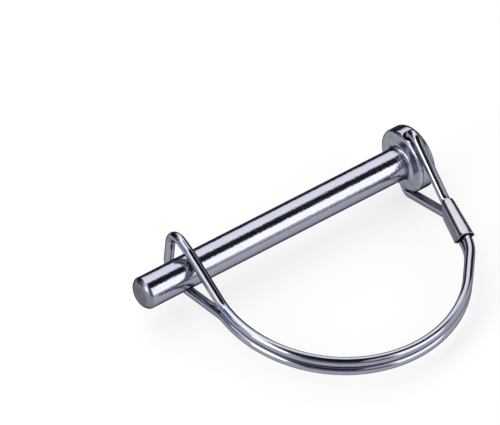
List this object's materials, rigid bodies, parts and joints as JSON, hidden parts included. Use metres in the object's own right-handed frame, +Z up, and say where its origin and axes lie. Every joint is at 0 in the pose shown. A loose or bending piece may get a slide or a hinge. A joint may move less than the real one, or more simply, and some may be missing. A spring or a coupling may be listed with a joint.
{
  "type": "lynch pin",
  "caption": "Locking pin: a headed steel shaft with a doubled spring-wire bow that pivots in the head, is gathered in a crimped sleeve and loops over the shaft near its tip.",
  "frame": {"origin": "on the shaft axis, in the plane of the head's bearing face", "axes": "+X along the shaft from the tip towards the head, +Z up from the floor the pin lies on, the bow on the -Y side"},
  "size_m": [0.0812, 0.0593, 0.0213],
  "materials": {
    "plated_bar": "bright zinc plate over drawn and turned bar",
    "plated_wire": "bright zinc plate over drawn spring wire",
    "plated_sleeve": "bright zinc plate over thin rolled tube"
  },
  "bodies": {
    "pin": {"pin": "plated_bar"},
    "bow": {"bow_wire": "plated_wire", "sleeve": "plated_sleeve"}
  },
  "joints": [
    {"name": "bow_swing", "type": "hinge", "parent": "pin", "child": "bow", "pos_m": [0.0019, 0, 0], "axis": [0, -0.1107, 0.9939], "range_deg": [0, 255]}
  ]
}
